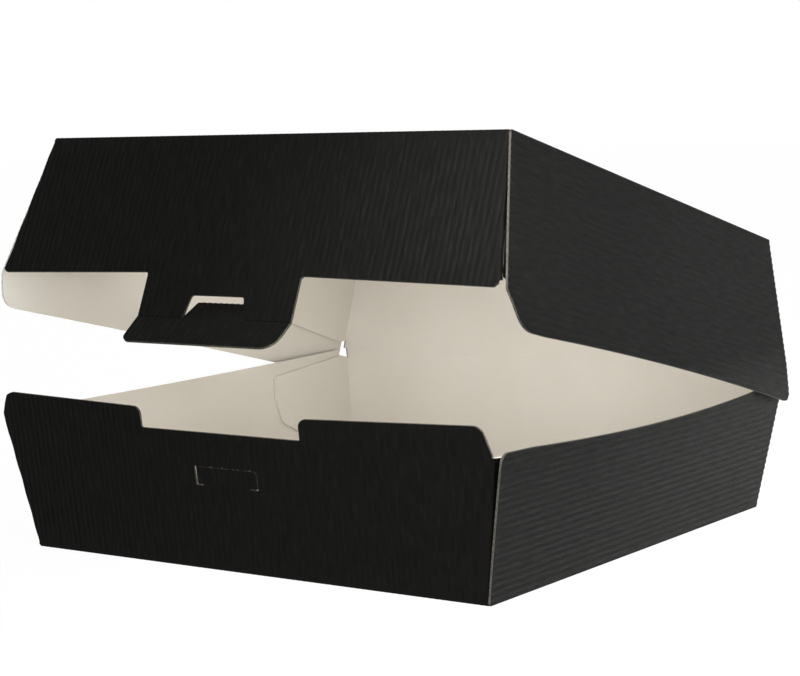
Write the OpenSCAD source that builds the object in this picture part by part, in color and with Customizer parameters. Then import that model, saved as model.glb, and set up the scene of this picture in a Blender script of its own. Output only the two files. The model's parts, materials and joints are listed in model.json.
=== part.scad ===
// Takeaway food box folded and glued from one sheet of fine fluted board.
// The lid stands a little open, with its lock tab bent outwards.
// Millimetres, +Z up, the origin at the middle of the underside, the front towards -Y.

/* [Base] */
// Width of the bottom panel, fold to fold
base_w = 150; // [120:1:200]
// Depth of the bottom panel, fold to fold
base_d = 152; // [120:1:200]
// Height of the hinge crease above the table
hinge_h = 41; // [34:0.5:60]
// Lean of the base's side walls away from upright, degrees
side_lean = 9.5; // [6:0.5:13]
// Lean of the base's front and back walls, degrees
end_lean = 8; // [6:0.5:11]

/* [Lid] */
// Height of the lid above the hinge crease when it is shut
lid_h = 39; // [30:0.5:56]
// Lean of the lid's side walls, degrees
lid_side_lean = 10.5; // [7:0.5:14]
// Lean of the lid's front and back walls, degrees
lid_end_lean = 9.7; // [7:0.1:12]
// How far the lid's sides hang below its rim
skirt = 9.8; // [6:0.2:14]
// How far the lid is open, degrees
open_angle = 13; // [0:1:178]

/* [Board] */
// Thickness of the board
board = 0.8; // [0.6:0.1:1]
// Gap left along each crease that moves
crease_gap = 0.1; // [0.05:0.05:0.3]
// Gap between the shut lid and the base walls inside it
lid_clear = 0.25; // [0.15:0.05:0.8]
// How far a front fold draws back from its side wall's cut edge at the rim
fold_wedge = 0.6; // [0.2:0.1:0.7]

/* [Side walls] */
// Drop of the side walls' front corners below the hinge, up the slope
side_front_drop = 2.4; // [1.5:0.1:6]
// Drop of the right wall's back end below the hinge
right_back_drop = 2.3; // [0.3:0.1:5]
// Drop of the left wall's back end below the hinge
left_back_drop = 0.3; // [0.3:0.1:5]
// Hollow of the right wall's top edge
right_dip = 4; // [0:0.1:6]
// Hollow of the left wall's top edge
left_dip = 0.5; // [0:0.1:6]
// Length of the level stretch in front of the hollow
side_flat = 15; // [8:1:30]
// Hollow of the lid's right bottom edge
lid_right_dip = 1.4; // [0:0.1:4]
// Hollow of the lid's left bottom edge
lid_left_dip = 0.3; // [0:0.1:4]

/* [Front ears] */
// Rise of the ears' inner ends above the hinge, up the slope
ear_rise = 2; // [1:0.1:6]
// How much higher the ears' outer ends are than the inner ends
ear_slope = 1.8; // [0:0.1:4]
// How far an ear's outer edge leans in from the side fold
ear_inset = 3.2; // [1:0.1:8]
// Depth of the recess between the ears below the hinge
recess_drop = 3.7; // [1:0.1:10]

/* [Lock] */
// Middle of the lock, to the right of the box's middle
lock_x = -3; // [-10:0.5:10]
// Width of the lid's front extension
ext_w = 50.6; // [40:0.2:70]
// Distance from the lid's rim down to the lock tab's crease
ext_h = 11.4; // [9:0.1:14]
// Length of the lock tab below its crease
strip_h = 9.9; // [6:0.1:12]
// Width of the tongue at its crease
tongue_w = 19.8; // [14:0.2:30]
// Width of the tongue at its tip
tongue_tip_w = 17; // [10:0.2:28]
// Length of the tongue
tongue_h = 6; // [4:0.1:6.5]
// Width of the cut round the tongue
tongue_kerf = 0.2; // [0.1:0.05:0.4]
// Bend of the lock tab out of the lid's front, degrees
tab_angle = 30; // [0:1:31]
// Room left for the extension at each end of the recess
recess_clear = 1.2; // [0.5:0.1:4]
// How far the recess sits to the right of the lock's middle
recess_shift = -1.4; // [-4:0.1:4]

/* [Catch slit] */
// Room left for the tongue at each end of the slit
slit_clear = 0.5; // [0.2:0.1:2]
// Depth of the slit's top edge below the lock tab's crease when the lid is shut
slit_below = 1.7; // [0.5:0.1:4]
// Height of the catch flap that the slit frees
catch_h = 5; // [3:0.1:8]
// Length of the slit's feet, which turn in under the catch flap
catch_foot = 3; // [1:0.1:5]
// Width of the slit
slit_w = 0.4; // [0.2:0.1:0.6]

/* [Glue flaps] */
// Length of a glue flap from its wall's fold with the flat panel
flap_len = 37.5; // [20:0.5:50]
// Height at which a glue flap starts on its fold
flap_start = 3; // [1:0.5:6]
// Slope of a glue flap's edge, degrees
flap_slope = 26; // [15:1:27]
// Drop of a glue flap's other edge below its wall, at the fold
flap_drop = 2.4; // [1.8:0.1:5]
// Further drop of that edge at the flap's tip
flap_taper = 3.4; // [0:0.1:6]
// Length of the relief hole at each end of the hinge
relief_len = 4; // [2.5:0.1:7]
// Depth of the relief hole below the hinge
relief_drop = 3; // [1.5:0.1:5]

/* [Hidden] */

// Corner radii of the die-cut outlines
ear_r = 3.6;
ear_inner_r = 2.2;
recess_r = 0.6;
side_corner_r = 2.2;
lobe_r = 3.5;
skirt_corner_r = 6;
strip_r = 4;
tongue_r = 1.6;
flap_r = 2.5;
relief_r = 1.4;
root_r = 1;
arc_steps = 6;
edge_steps = 16;

// The lid side's front corner is cut off by this much along and up
skirt_cut = [5.4, 9];
// The lid's front edge drops by this much from the extension to its ends
rim_slope = 1.2;
rim_bevel = 1.4;
// The lid sides' back edge stands in from the hinge line by this much
lobe_inset = 0.9;
// The lobe below the hinge is this much lower than the rest of the skirt, over this length
lobe_drop = 0.6;
lobe_len = 18;
// The flaps start this far behind the outer face of the panel they fold from
flap_inset = 0.15;
// The top and bottom panels' edges end this far inside the folds of their walls
panel_inset = 0.25;
// Each crease edge is cut back by this angle on its inner side
crease_bevel = 12;

// Slope heights of the base's walls up to the hinge, and of the lid's walls down to it
base_side_v = hinge_h / cos(side_lean);
base_end_v = hinge_h / cos(end_lean);
lid_side_v = lid_h / cos(lid_side_lean);
lid_end_v = lid_h / cos(lid_end_lean);

// Outer faces at the level of the hinge
hinge_x = base_w / 2 + hinge_h * tan(side_lean);
hinge_y = base_d / 2 + hinge_h * tan(end_lean);

// The shut lid's rim clears the base's sides at the hinge and its ears at their tops
ear_top_z = (base_end_v + ear_rise + ear_slope) * cos(end_lean);
ear_top_y = base_d / 2 + ear_top_z * tan(end_lean);
lid_rim_x = hinge_x + lid_clear + board / cos(lid_side_lean);
lid_rim_y = ear_top_y + lid_clear + (ear_top_z - hinge_h) * tan(lid_end_lean)
    + board / cos(lid_end_lean);
lid_half_w = lid_rim_x - lid_h * tan(lid_side_lean);
lid_front = lid_rim_y - lid_h * tan(lid_end_lean);
lid_back = hinge_y - lid_h * tan(lid_end_lean);
lid_top_z = hinge_h + lid_h;

// Heights of the lock on the lid's front wall, down from the top fold
crease_v = lid_end_v + ext_h;
crease_z = lid_top_z - crease_v * cos(lid_end_lean);
slit_top_v = (crease_z - slit_below) / cos(end_lean);
slit_half = tongue_w / 2 + slit_clear;
recess_x = lock_x + recess_shift;
recess_half = ext_w / 2 + recess_clear;

// Half width of an end panel at the slope height v: it ends inside the side walls
function fold_u(half, own_lean, side, v, full_v) =
    half - board / cos(side) + v * cos(own_lean) * tan(side) - fold_wedge * v / full_v;

// Half depth of a side wall at the slope height v: flush with the end panels
function side_u(half, own_lean, end, v) = half + v * cos(own_lean) * tan(end);

// An outline is a list of corners [u, v, radius]; rounded() turns each radius into an arc
function flat(p) = [p.x, p.y];
function unit(a) = a / norm(a);
function arc_corner(p, q, n) =
    let (a = flat(p) - flat(q),
         b = flat(n) - flat(q),
         half = acos(max(-1, min(1, unit(a) * unit(b)))) / 2,
         reach = min(q.z / tan(half), 0.45 * norm(a), 0.45 * norm(b)),
         r = reach * tan(half),
         c = flat(q) + unit(unit(a) + unit(b)) * reach / cos(half),
         s = flat(q) + unit(a) * reach - c,
         e = flat(q) + unit(b) * reach - c,
         sweep = 180 - 2 * half)
    [for (i = [0 : arc_steps])
        let (t = i / arc_steps) c + (s * sin((1 - t) * sweep) + e * sin(t * sweep)) / sin(sweep)];
function rounded(pts) =
    let (n = len(pts))
    [for (i = [0 : n - 1])
        let (p = pts[(i + n - 1) % n], q = pts[i], m = pts[(i + 1) % n])
        each (q.z > 0 ? arc_corner(p, q, m) : [flat(q)])];

// Points of a shallow bow from one corner to another, without its ends
function bow(from, to, dip) =
    [for (i = [1 : edge_steps - 1])
        let (t = i / edge_steps)
        [from.x + (to.x - from.x) * t, from.y + (to.y - from.y) * t - 4 * dip * t * (1 - t), 0]];

// A board cut to an outline, its outer face at z = 0 and its thickness below it
module sheet(pts) {
    translate([0, 0, -board])
        linear_extrude(board)
            polygon(rounded(pts));
}

// The level panel that four walls fold up from; its edges end inside them
module panel(half_w, front, back) {
    translate([-half_w + panel_inset, -front + panel_inset, 0])
        cube([2 * (half_w - panel_inset), front + back - 2 * panel_inset, board]);
}

// Places a sheet as a wall that rises from the bottom fold; u runs along +X or +Y
module front_wall(half, lean) {
    translate([0, -half, 0])
        rotate([90 + lean, 0, 0])
            children();
}
module back_wall(half, lean) {
    mirror([0, 1, 0])
        front_wall(half, lean)
            children();
}
module right_wall(half, lean) {
    rotate([0, 0, 90])
        front_wall(half, lean)
            children();
}
module left_wall(half, lean) {
    mirror([1, 0, 0])
        right_wall(half, lean)
            children();
}

// A back panel, its top cut back on the inner side so that the crease can close
module hinged_panel(half, lean, side, full_v) {
    top_v = full_v - crease_gap;
    low = fold_u(half, lean, side, 0, full_v);
    high = fold_u(half, lean, side, top_v, full_v) + fold_wedge * top_v / full_v;
    difference() {
        sheet([[-low, 0, 0], [low, 0, 0], [high, top_v, 0], [-high, top_v, 0]]);
        translate([-2 * half, top_v, 0])
            rotate([-crease_bevel, 0, 0])
                translate([0, 0, -2 * board])
                    cube([4 * half, 2 * board, 3 * board]);
    }
}

// A glue flap on the inner face of a side wall; positive u is towards its fold
module glue_flap(half, side, end, top_v) {
    fold_low = side_u(half, side, end, flap_start) - flap_inset;
    fold_top = side_u(half, side, end, top_v - relief_drop) - flap_inset;
    tip = half - flap_len;
    tip_low = flap_start + (flap_len - 1.5) * tan(flap_slope);
    tip_top = top_v - flap_drop - flap_taper;
    translate([0, 0, -board])
        sheet([
            [fold_low, flap_start, 0],
            [fold_top, top_v - relief_drop - 0.2, 0],
            [fold_top - relief_len, top_v - flap_drop, 0],
            [tip + 1.3, tip_top, flap_r / 2],
            [tip, (tip_low + tip_top) / 2, 0],
            [tip + 1.5, tip_low, flap_r]
        ]);
}
module flap_pair(front_half, back_half, side, end, front_top_v, back_top_v) {
    glue_flap(back_half, side, end, back_top_v);
    mirror([1, 0, 0])
        glue_flap(front_half, side, end, front_top_v);
}

// Side wall of the base, with a hollow top edge and the relief notch at the hinge
module base_side(dip, back_drop) {
    half = base_d / 2;
    front_v = base_side_v - side_front_drop;
    back_v = base_side_v - back_drop;
    notch_v = base_side_v - relief_drop;
    front_u = side_u(half, side_lean, end_lean, front_v);
    back_u = side_u(half, side_lean, end_lean, notch_v);
    flat_end = [side_flat - front_u, front_v - 0.3];
    notch_u = back_u - relief_len;
    sheet(concat(
        [[-half, 0, 0], [half, 0, 0], [back_u, notch_v, 0.6],
         [notch_u, notch_v, relief_r], [notch_u, back_v, 0.8]],
        bow([notch_u, back_v], flat_end, dip),
        [[flat_end.x, flat_end.y, 0], [-front_u, front_v, side_corner_r]]
    ));
}

// The front wall's ears, recess and side folds, without the catch slit
module base_front_blank() {
    half = base_w / 2;
    fold_v = base_end_v - side_front_drop - 0.6;
    recess_v = base_end_v - recess_drop;
    low = fold_u(half, end_lean, side_lean, 0, base_end_v);
    fold = fold_u(half, end_lean, side_lean, fold_v, base_end_v);
    ear_out = fold - ear_inset;
    inner_v = base_end_v + ear_rise;
    outer_v = inner_v + ear_slope;
    left_u = recess_x - recess_half;
    right_u = recess_x + recess_half;
    sheet([
        [-low, 0, 0], [low, 0, 0], [fold, fold_v, 0.6],
        [ear_out, outer_v, ear_r],
        [right_u, inner_v, ear_inner_r], [right_u, recess_v, recess_r],
        [left_u, recess_v, recess_r], [left_u, inner_v, ear_inner_r],
        [-ear_out, outer_v, ear_r],
        [-fold, fold_v, 0.6]
    ]);
}

// Slit that frees the catch flap on three sides, with feet under the flap's corners
module catch_slit() {
    low_v = slit_top_v - catch_h;
    module bar(u0, v0, u1, v1) {
        translate([u0 - slit_w / 2, v0 - slit_w / 2, -2 * board])
            cube([u1 - u0 + slit_w, v1 - v0 + slit_w, 3 * board]);
    }
    bar(lock_x - slit_half, slit_top_v, lock_x + slit_half, slit_top_v);
    for (end = [-1, 1]) {
        u = lock_x + end * slit_half;
        foot = u - end * catch_foot;
        bar(u, low_v, u, slit_top_v);
        bar(min(u, foot), low_v, max(u, foot), low_v);
    }
}

// The tray: bottom, four leaning walls and four glue flaps, folded from the one sheet
module base_tray() {
    half_w = base_w / 2;
    half_d = base_d / 2;
    color("#2a2a28") union() {
        panel(half_w, half_d, half_d);
        front_wall(half_d, end_lean)
            difference() {
                base_front_blank();
                catch_slit();
            }
        back_wall(half_d, end_lean)
            hinged_panel(half_w, end_lean, side_lean, base_end_v);
        right_wall(half_w, side_lean) {
            base_side(right_dip, right_back_drop);
            flap_pair(half_d, half_d, side_lean, end_lean,
                base_side_v - side_front_drop, base_side_v);
        }
        left_wall(half_w, side_lean) {
            base_side(left_dip, left_back_drop);
            flap_pair(half_d, half_d, side_lean, end_lean,
                base_side_v - side_front_drop, base_side_v);
        }
    }
}

// Side wall of the lid, hanging past the rim and outside the base's side wall
module lid_side(dip) {
    rim_v = lid_side_v;
    low_v = rim_v + skirt;
    lobe_v = low_v + lobe_drop;
    front_low = side_u(lid_front, lid_side_lean, lid_end_lean, rim_v);
    back_low = side_u(lid_back, lid_side_lean, lid_end_lean, rim_v) - lobe_inset;
    cut_v = low_v - skirt_cut.y;
    cut_u = skirt_cut.x - front_low;
    flat_from = [cut_u + side_flat - 4, low_v];
    flat_to = [back_low - lobe_len, low_v];
    sheet(concat(
        [[-lid_front, 0, 0], [lid_back, 0, 0], [back_low, rim_v - 2, 5],
         [back_low + 0.2, lobe_v, lobe_r],
         [flat_to.x, flat_to.y, 0]],
        bow(flat_to, flat_from, dip),
        [[flat_from.x, flat_from.y, 0], [cut_u, low_v, skirt_corner_r],
         [-front_low, cut_v, root_r]]
    ));
}

// The lid's front wall with its extension, open where the tongue was cut out
module lid_front_wall() {
    low = fold_u(lid_half_w, lid_end_lean, lid_side_lean, 0, lid_end_v);
    end_v = lid_end_v + rim_slope / 3;
    fold = fold_u(lid_half_w, lid_end_lean, lid_side_lean, end_v, lid_end_v);
    root_v = end_v - rim_slope;
    leg_v = crease_v - crease_gap;
    window_v = crease_v - tongue_h - tongue_kerf;
    window_tip = tongue_tip_w / 2 + tongue_kerf;
    window_root = tongue_w / 2 + tongue_kerf;
    difference() {
        sheet([
            [-low, 0, 0], [-fold, end_v - rim_bevel, 0], [rim_bevel - fold, end_v, 0.5],
            [lock_x - ext_w / 2, root_v, root_r], [lock_x - ext_w / 2, leg_v, 0],
            [lock_x + ext_w / 2, leg_v, 0], [lock_x + ext_w / 2, root_v, root_r],
            [fold - rim_bevel, end_v, 0.5], [fold, end_v - rim_bevel, 0], [low, 0, 0]
        ]);
        translate([lock_x, 0, -2 * board])
            linear_extrude(3 * board)
                polygon(rounded([
                    [-window_tip, window_v, 1], [window_tip, window_v, 1],
                    [window_root, crease_v, 0], [window_root, crease_v + 1, 0],
                    [-window_root, crease_v + 1, 0], [-window_root, crease_v, 0]
                ]));
    }
}

// Puts a part of the shut lid, built like a tray on its top panel, where it belongs
module hang_from_top() {
    translate([0, 0, lid_top_z])
        mirror([0, 0, 1])
            children();
}

// Opens what is drawn for the shut lid about the hinge crease
module open_lid() {
    translate([0, hinge_y, hinge_h])
        rotate([-open_angle, 0, 0])
            translate([0, -hinge_y, -hinge_h])
                children();
}

// The lid: top, four walls and four glue flaps, with the extension on its front
module lid() {
    flap_top_v = lid_side_v + 0.6;
    color("#2e2e2c") open_lid() hang_from_top() union() {
        panel(lid_half_w, lid_front, lid_back);
        front_wall(lid_front, lid_end_lean)
            lid_front_wall();
        back_wall(lid_back, lid_end_lean)
            hinged_panel(lid_half_w, lid_end_lean, lid_side_lean, lid_end_v);
        right_wall(lid_half_w, lid_side_lean) {
            lid_side(lid_right_dip);
            flap_pair(lid_front, lid_back, lid_side_lean, lid_end_lean,
                flap_top_v, flap_top_v);
        }
        left_wall(lid_half_w, lid_side_lean) {
            lid_side(lid_left_dip);
            flap_pair(lid_front, lid_back, lid_side_lean, lid_end_lean,
                flap_top_v, flap_top_v);
        }
    }
}

// The lock tab: a strip below the crease and, in one plane with it, the tongue above
module lock_tab() {
    half = ext_w / 2;
    root = tongue_w / 2;
    tip = tongue_tip_w / 2;
    color("#33322d") open_lid() hang_from_top() front_wall(lid_front, lid_end_lean)
        translate([lock_x, crease_v, 0])
            rotate([tab_angle, 0, 0])
                sheet([
                    [half, 0, 0], [half - 0.4, strip_h, strip_r],
                    [0.4 - half, strip_h, strip_r], [-half, 0, 0],
                    [-root, 0, 0], [-tip, -tongue_h, tongue_r],
                    [tip, -tongue_h, tongue_r], [root, 0, 0]
                ]);
}

base_tray();
lid();
lock_tab();
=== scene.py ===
import json
import math

import bmesh
import bpy
import numpy as np
from mathutils import Matrix, Vector
from mathutils.geometry import delaunay_2d_cdt

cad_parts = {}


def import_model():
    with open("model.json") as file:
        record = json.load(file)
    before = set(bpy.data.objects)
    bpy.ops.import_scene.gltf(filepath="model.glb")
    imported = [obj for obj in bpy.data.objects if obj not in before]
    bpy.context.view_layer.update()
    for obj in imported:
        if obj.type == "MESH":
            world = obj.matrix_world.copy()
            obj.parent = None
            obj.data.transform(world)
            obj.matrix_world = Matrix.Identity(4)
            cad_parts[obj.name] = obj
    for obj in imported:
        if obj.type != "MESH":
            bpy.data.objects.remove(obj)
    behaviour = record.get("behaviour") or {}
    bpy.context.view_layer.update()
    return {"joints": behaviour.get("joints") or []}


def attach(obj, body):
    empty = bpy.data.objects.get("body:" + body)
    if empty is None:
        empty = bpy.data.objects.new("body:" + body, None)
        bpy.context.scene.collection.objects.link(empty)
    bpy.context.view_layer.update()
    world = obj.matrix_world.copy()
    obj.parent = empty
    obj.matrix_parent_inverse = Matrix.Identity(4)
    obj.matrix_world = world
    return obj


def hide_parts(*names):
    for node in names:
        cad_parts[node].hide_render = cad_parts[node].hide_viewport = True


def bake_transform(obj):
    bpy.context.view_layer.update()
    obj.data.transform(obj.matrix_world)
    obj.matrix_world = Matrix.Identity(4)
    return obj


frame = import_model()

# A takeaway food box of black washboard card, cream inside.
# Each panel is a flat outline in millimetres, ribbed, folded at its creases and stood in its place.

MM = 0.001

# The box's sizes, in millimetres and degrees. RIGHT_BACK_DROP, RIGHT_DIP, LID_RIGHT_DIP and STRIP_H
# are set to the photograph, and differ from part.scad by 0.4 to 1.8 mm
BASE_W, BASE_D, HINGE_H = 150, 152, 41
SIDE_LEAN, END_LEAN = 9.5, 8
LID_H, LID_SIDE_LEAN, LID_END_LEAN = 39, 10.5, 9.7
BOARD, CLEAR, WEDGE = 0.8, 0.25, 0.6
SKIRT = 9.8
SIDE_FRONT_DROP, RIGHT_BACK_DROP, LEFT_BACK_DROP = 2.4, 2.8, 0.3
RIGHT_DIP, LEFT_DIP, LID_RIGHT_DIP, LID_LEFT_DIP = 2.2, 0.5, 1.0, 0.3
EAR_RISE, EAR_SLOPE, RECESS_DROP = 2, 1.8, 3.7
LOCK_X, EXT_W, EXT_H, STRIP_H = -3, 50.6, 11.4, 9.5
TONGUE_W, TONGUE_TIP_W, TONGUE_H, TONGUE_KERF = 19.8, 17, 6, 0.2
SLIT_CLEAR, SLIT_BELOW, CATCH_H, CATCH_FOOT = 0.5, 1.7, 5, 3
RECESS_CLEAR, RECESS_SHIFT = 1.2, -1.4
FLAP_LEN, FLAP_START, FLAP_SLOPE, FLAP_DROP, FLAP_TAPER = 37.5, 3, 26, 2.4, 3.4
RELIEF_LEN, RELIEF_DROP, FLAP_FRONT_DROP = 4, 3, 1.5
# How much the lid's front wall narrows towards its rim, at its right and left end
LID_WEDGES = {1: 1, -1: 0.3}
# Straight part of a rim at the front, on the base and on the lid's skirts, and the skirts' back lobes
SIDE_FLAT, SKIRT_FLAT, LOBE_INSET, LOBE_DROP, LOBE_LEN = 15, 11, 0.9, 0.6, 18
# Height of the cut at a skirt's front, and height above a bottom fold where a wall's ends are fully turned
SKIRT_CUT_V, NECK_V = 9, 1.4

# Radii of the cut corners
EAR_FOOT_R, EAR_R, EAR_LEFT_R, EAR_INNER_R, RECESS_R = 0.5, 3.3, 3.4, 2.2, 0.6
SIDE_CORNER_R, RELIEF_R, RELIEF_END_R, RELIEF_TOP_R = 2.2, 1.4, 0.6, 0.8
SKIRT_R, LOBE_R, LID_BACK_R, ROOT_R, LID_CORNER_R = 9, 3.5, 5, 1, 0.5
FLAP_TOP_R, FLAP_LOW_R = 1.2, 2.5
STRIP_RIGHT_R, STRIP_LEFT_R, TONGUE_R, WINDOW_R = 5, 2.4, 1.6, 1

# Joints, from the frame
JOINTS = {j["name"]: j for j in frame["joints"]}
OPEN_ANGLE = -JOINTS["lid_hinge"]["range_deg"][0]
TAB_ANGLE = -JOINTS["lock_tab_crease"]["range_deg"][0]

# Ribs of the outer liner, and how finely the meshes follow them
PITCH, RIB_DEPTH = 1.85, 0.18
RIB_STEP = PITCH / 4
ROW_STEP = 5.0
FOLD_R, CORNER_R = 0.8, 0.6
# How far a fold's ridge stands out of its arc, towards the sharp corner
RIDGE = 0.15
ARC_STEP = 0.24
# The hinge and the tab turn about lines on the outer face, and the card ends this near them
CREASE_END = 0.03
# Angle by which the card is cut back on the inner side of the hinge
BEVEL = 12
# Angle by which the hinge's strip reaches into the walls beside it
HINGE_OVERLAP = 2.5
# Angle by which a wall's end is turned round its corner
CURL = math.radians(88.7)
# How far the ribs are flattened at a fold, and how far from it that ends
CRUSH, CRUSH_REACH = 0.85, 1.2
# How far the base's side walls swell in the middle and flare at the front, and the lid's flare
RIGHT_SWELL, RIGHT_FLARE, LEFT_SWELL, LEFT_FLARE, LID_FLARE = 1.8, 1.05, 0.5, 1.0, 0.45
# Millimetres in one unit of the map of the flat blank
MAP_MM = 100
# Folds sharper than this, in degrees, are drawn as edges
SHARP = 38
# Points nearer than this, in metres, are joined
WELD = 2e-6


def tan(a):
    return math.tan(math.radians(a))


def cos(a):
    return math.cos(math.radians(a))


def sin(a):
    return math.sin(math.radians(a))


# Slope heights, and where the lid's panels lie
BASE_SIDE_V, BASE_END_V = HINGE_H / cos(SIDE_LEAN), HINGE_H / cos(END_LEAN)
LID_SIDE_V, LID_END_V = LID_H / cos(LID_SIDE_LEAN), LID_H / cos(LID_END_LEAN)
HINGE_X = BASE_W / 2 + HINGE_H * tan(SIDE_LEAN)
HINGE_Y = BASE_D / 2 + HINGE_H * tan(END_LEAN)
EAR_TOP_Z = (BASE_END_V + EAR_RISE + EAR_SLOPE) * cos(END_LEAN)
LID_RIM_X = HINGE_X + CLEAR + BOARD / cos(LID_SIDE_LEAN)
LID_RIM_Y = (BASE_D / 2 + EAR_TOP_Z * tan(END_LEAN) + CLEAR
             + (EAR_TOP_Z - HINGE_H) * tan(LID_END_LEAN) + BOARD / cos(LID_END_LEAN))
LID_HALF_W = LID_RIM_X - LID_H * tan(LID_SIDE_LEAN)
LID_FRONT = LID_RIM_Y - LID_H * tan(LID_END_LEAN)
LID_BACK = HINGE_Y - LID_H * tan(LID_END_LEAN)
LID_TOP_Z = HINGE_H + LID_H
CREASE_V = LID_END_V + EXT_H
CREASE_Z = LID_TOP_Z - CREASE_V * cos(LID_END_LEAN)


# Outlines

def arc_corner(p, q, n, count=6):
    """The corner q of an outline, [u, v, radius], as the points of an arc."""
    a, b = (np.array(p[:2], float) - q[:2], np.array(n[:2], float) - q[:2])
    la, lb = np.linalg.norm(a), np.linalg.norm(b)
    a, b = a / la, b / lb
    half = math.acos(max(-1, min(1, float(a @ b)))) / 2
    reach = min(q[2] / math.tan(half), 0.45 * la, 0.45 * lb)
    centre = np.array(q[:2]) + (a + b) / np.linalg.norm(a + b) * reach / math.cos(half)
    start, end = q[:2] + a * reach - centre, q[:2] + b * reach - centre
    sweep = math.pi - 2 * half
    return [tuple(centre + (start * math.sin((1 - t) * sweep) + end * math.sin(t * sweep)) / math.sin(sweep))
            for t in np.linspace(0, 1, count + 1)]


def rounded(points):
    """An outline of [u, v] and [u, v, radius] corners, with the radii turned into arcs."""
    out = []
    for i, q in enumerate(points):
        if len(q) == 3 and q[2] > 0:
            out += arc_corner(points[i - 1], q, points[(i + 1) % len(points)])
        else:
            out.append((q[0], q[1]))
    return out


def without_repeats(loop):
    """The loop with no point said twice in a row."""
    return [p for i, p in enumerate(loop) if math.dist(p, loop[i - 1]) > 1e-4]


def bow(a, b, dip, count=24):
    """Points of a shallow hollow from a to b, without its ends."""
    return [(a[0] + (b[0] - a[0]) * t, a[1] + (b[1] - a[1]) * t - 4 * dip * t * (1 - t))
            for t in np.arange(1, count) / count]


def fold_u(half, own, side, v, full, wedge=WEDGE):
    """Half width of an end panel at the slope height v, inside the side walls."""
    return half - BOARD / cos(side) + v * cos(own) * tan(side) - wedge * v / full


def side_u(half, own, end, v):
    """Half depth of a side wall at the slope height v."""
    return half + v * cos(own) * tan(end)


# Meshes of card

def enclosed(points, borders):
    """Which of the points lie inside the closed lines that the borders form, even-odd."""
    inside = np.zeros(len(points), bool)
    for (x0, y0), (x1, y1) in borders:
        if y0 == y1:
            continue
        across = (y0 > points[:, 1]) != (y1 > points[:, 1])
        inside ^= across & (points[:, 0] < x0 + (points[:, 1] - y0) * (x1 - x0) / (y1 - y0))
    return inside


def triangulate(loops, lines):
    """Triangles inside the loops, even-odd, that follow the lines: points, triangles, rim edges."""
    points, edges = [], []
    for closed, groups in ((True, loops), (False, lines)):
        for line in groups:
            first = len(points)
            points += [Vector(p) for p in line]
            edges += [(first + i, first + i + 1) for i in range(len(line) - 1)]
            if closed:
                edges.append((first + len(line) - 1, first))
    found = delaunay_2d_cdt(points, edges, [], 0, 1e-5)
    pts = np.array([tuple(p) for p in found[0]])
    tri = np.array(found[2])
    corner = pts[tri]
    area = np.cross(corner[:, 1] - corner[:, 0], corner[:, 2] - corner[:, 0])
    borders = [pair for loop in loops for pair in zip(np.array(loop), np.roll(np.array(loop), -1, axis=0))]
    kept = enclosed(corner.mean(axis=1), borders) & (np.abs(area) > 1e-9)
    tri, area = tri[kept], area[kept]
    tri[area < 0] = tri[area < 0][:, ::-1]
    used, tri = np.unique(tri, return_inverse=True)
    pts, tri = pts[used], tri.reshape(-1, 3)
    sides = np.concatenate([tri[:, [0, 1]], tri[:, [1, 2]], tri[:, [2, 0]]])
    keys = {tuple(s) for s in sides}
    rim = [s for s in keys if (s[1], s[0]) not in keys]
    return pts, tri, rim


def inner_triangles(pts, rim):
    """A coarse filling of the same rim: its points, its triangles, and each rim point's place in them."""
    names = sorted({i for s in rim for i in s})
    place = {name: k for k, name in enumerate(names)}
    points = [Vector(pts[i]) for i in names]
    low, high = pts[names].min(axis=0), pts[names].max(axis=0)
    ends = np.array([(pts[a], pts[b]) for a, b in rim])
    mid = ends.mean(axis=1)
    step = 7.0
    for x in np.arange(low[0] + step / 2, high[0], step):
        for y in np.arange(low[1] + step / 2, high[1], step):
            if np.hypot(mid[:, 0] - x, mid[:, 1] - y).min() > step / 2:
                points.append(Vector((x, y)))
    edges = [(place[a], place[b]) for a, b in rim]
    found = delaunay_2d_cdt(points, edges, [], 0, 1e-6)
    out = np.array([tuple(p) for p in found[0]])
    back = {}
    for k, sources in enumerate(found[3]):
        for s in sources:
            back[s] = k
    tri = np.array(found[2])
    tri = tri[enclosed(out[tri].mean(axis=1), ends)]
    corner = out[tri]
    area = np.cross(corner[:, 1] - corner[:, 0], corner[:, 2] - corner[:, 0])
    tri[area < 0] = tri[area < 0][:, ::-1]
    used, tri = np.unique(tri, return_inverse=True)
    order = {int(old): new for new, old in enumerate(used)}
    return out[used], tri.reshape(-1, 3), {name: order[back[k]] for name, k in place.items()}


OUTSIDE, INSIDE, EDGE = 0, 1, 2


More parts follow.
